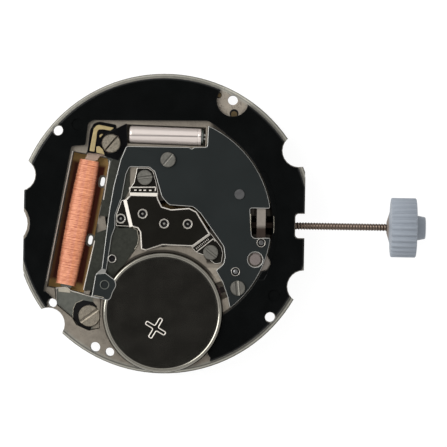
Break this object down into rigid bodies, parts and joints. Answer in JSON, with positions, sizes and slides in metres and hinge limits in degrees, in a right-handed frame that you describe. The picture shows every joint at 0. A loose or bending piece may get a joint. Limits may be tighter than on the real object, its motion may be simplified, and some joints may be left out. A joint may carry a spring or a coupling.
{
  "type": "quartz watch movement",
  "caption": "Round analogue quartz watch movement with open gear train, coil motor, button cell and a pulled setting stem.",
  "frame": {"origin": "centre of the hands' axis on the dial seat, the plate's flat face towards the dial", "axes": "+X outwards along the winding stem, +Z from the dial side to the battery side"},
  "size_m": [0.0321, 0.024, 0.0056],
  "materials": {
    "nickel": "satin nickel plate",
    "black_plastic": "black moulded plastic, satin",
    "cell_steel": "bright rolled steel",
    "seal": "moulded seal",
    "film": "thin polyimide film",
    "gilt": "gold-plated spring bronze",
    "bridge_black": "black plated brass",
    "cover_slate": "dark slate plated sheet",
    "brass": "satin brass",
    "jewel": "polished synthetic ruby",
    "board": "dark laminate",
    "epoxy": "potting resin",
    "can_bright": "polished nickel silver",
    "glass_seal": "glass seal",
    "copper": "enamelled copper wire, packed turns",
    "soft_iron": "annealed nickel iron",
    "amber_film": "amber flexible board",
    "steel": "polished steel",
    "magnet": "sintered magnet",
    "crown_plastic": "pale blue-grey moulded plastic"
  },
  "bodies": {
    "movement": {"main_plate": "nickel", "upper_frame": "black_plastic", "cell_can": "cell_steel", "cell_gasket": "seal", "cell_cap": "cell_steel", "insulating_film": "film", "negative_contact": "gilt", "cell_side_spring": "nickel", "train_bridge": "bridge_black", "bridge_bushes": "brass", "rotor_jewel": "jewel", "bridge_screws": "nickel", "cover_screws": "nickel", "motor_screws": "nickel", "steady_pins": "nickel", "circuit_board": "board", "integrated_circuit": "epoxy", "circuit_cover": "cover_slate", "cover_rivets": "nickel", "crystal_can": "can_bright", "crystal_base": "glass_seal", "crystal_leads": "can_bright", "coil_winding": "copper", "coil_core": "soft_iron", "coil_film": "amber_film", "stator": "soft_iron", "contact_strips": "gilt", "insulator": "black_plastic", "motion_cover": "nickel", "motion_cover_screws": "nickel", "setting_spring": "nickel", "yoke": "nickel"},
    "rotor": {"rotor_magnet": "magnet", "rotor_pinion": "steel"},
    "intermediate_unit": {"intermediate_wheel": "brass", "intermediate_pinion": "steel"},
    "seconds_unit": {"seconds_wheel": "brass", "seconds_arbor": "steel"},
    "third_unit": {"third_wheel": "brass", "third_pinion": "steel"},
    "centre_unit": {"centre_wheel": "brass", "cannon_pinion": "steel"},
    "minute_unit": {"minute_wheel": "brass"},
    "hour_unit": {"hour_wheel": "brass"},
    "setting_unit": {"setting_wheel": "brass"},
    "clutch": {"clutch_pinion": "steel"},
    "stem": {"winding_stem": "steel", "transport_crown": "crown_plastic"},
    "lever": {"setting_lever": "nickel"}
  },
  "joints": [
    {"name": "seconds_turn", "type": "hinge", "parent": "movement", "child": "seconds_unit", "pos_m": [0, 0, 0], "axis": [0, 0, 1], "continuous": true},
    {"name": "rotor_turn", "type": "hinge", "parent": "movement", "child": "rotor", "pos_m": [-0.00346, 0.00034, 0], "axis": [0, 0, 1], "continuous": true},
    {"name": "intermediate_turn", "type": "hinge", "parent": "movement", "child": "intermediate_unit", "pos_m": [-0.00172, 0.00075, 0], "axis": [0, 0, 1], "continuous": true},
    {"name": "third_turn", "type": "hinge", "parent": "movement", "child": "third_unit", "pos_m": [0.00188, 0, 0], "axis": [0, 0, 1], "continuous": true},
    {"name": "centre_turn", "type": "hinge", "parent": "movement", "child": "centre_unit", "pos_m": [0, 0, 0], "axis": [0, 0, 1], "continuous": true},
    {"name": "minute_turn", "type": "hinge", "parent": "movement", "child": "minute_unit", "pos_m": [0.0019, 0, 0], "axis": [0, 0, 1], "continuous": true},
    {"name": "hour_turn", "type": "hinge", "parent": "movement", "child": "hour_unit", "pos_m": [0, 0, 0], "axis": [0, 0, 1], "continuous": true},
    {"name": "setting_turn", "type": "hinge", "parent": "movement", "child": "setting_unit", "pos_m": [0.00475, 0, 0], "axis": [0, 0, 1], "continuous": true},
    {"name": "stem_turn", "type": "hinge", "parent": "movement", "child": "clutch", "pos_m": [0.0058, 0, 0.00145], "axis": [1, 0, 0], "continuous": true},
    {"name": "stem_pull", "type": "slide", "parent": "clutch", "child": "stem", "axis": [1, 0, 0], "range_m": [0, 0.0006]},
    {"name": "lever_swing", "type": "hinge", "parent": "movement", "child": "lever", "pos_m": [0.0073, -0.00274, 0], "axis": [0, 0, 1], "range_deg": [-12.42, 0]}
  ],
  "couplings": [
    {"joint": "rotor_turn", "follows": "seconds_turn", "ratio": 30},
    {"joint": "intermediate_turn", "follows": "seconds_turn", "ratio": -5},
    {"joint": "third_turn", "follows": "seconds_turn", "ratio": -0.13333},
    {"joint": "centre_turn", "follows": "seconds_turn", "ratio": 0.016667},
    {"joint": "minute_turn", "follows": "seconds_turn", "ratio": -0.0055556},
    {"joint": "hour_turn", "follows": "seconds_turn", "ratio": 0.0013889},
    {"joint": "setting_turn", "follows": "seconds_turn", "ratio": 0.0055556},
    {"joint": "lever_swing", "follows": "stem_pull", "rad_per_m": -361.03}
  ]
}
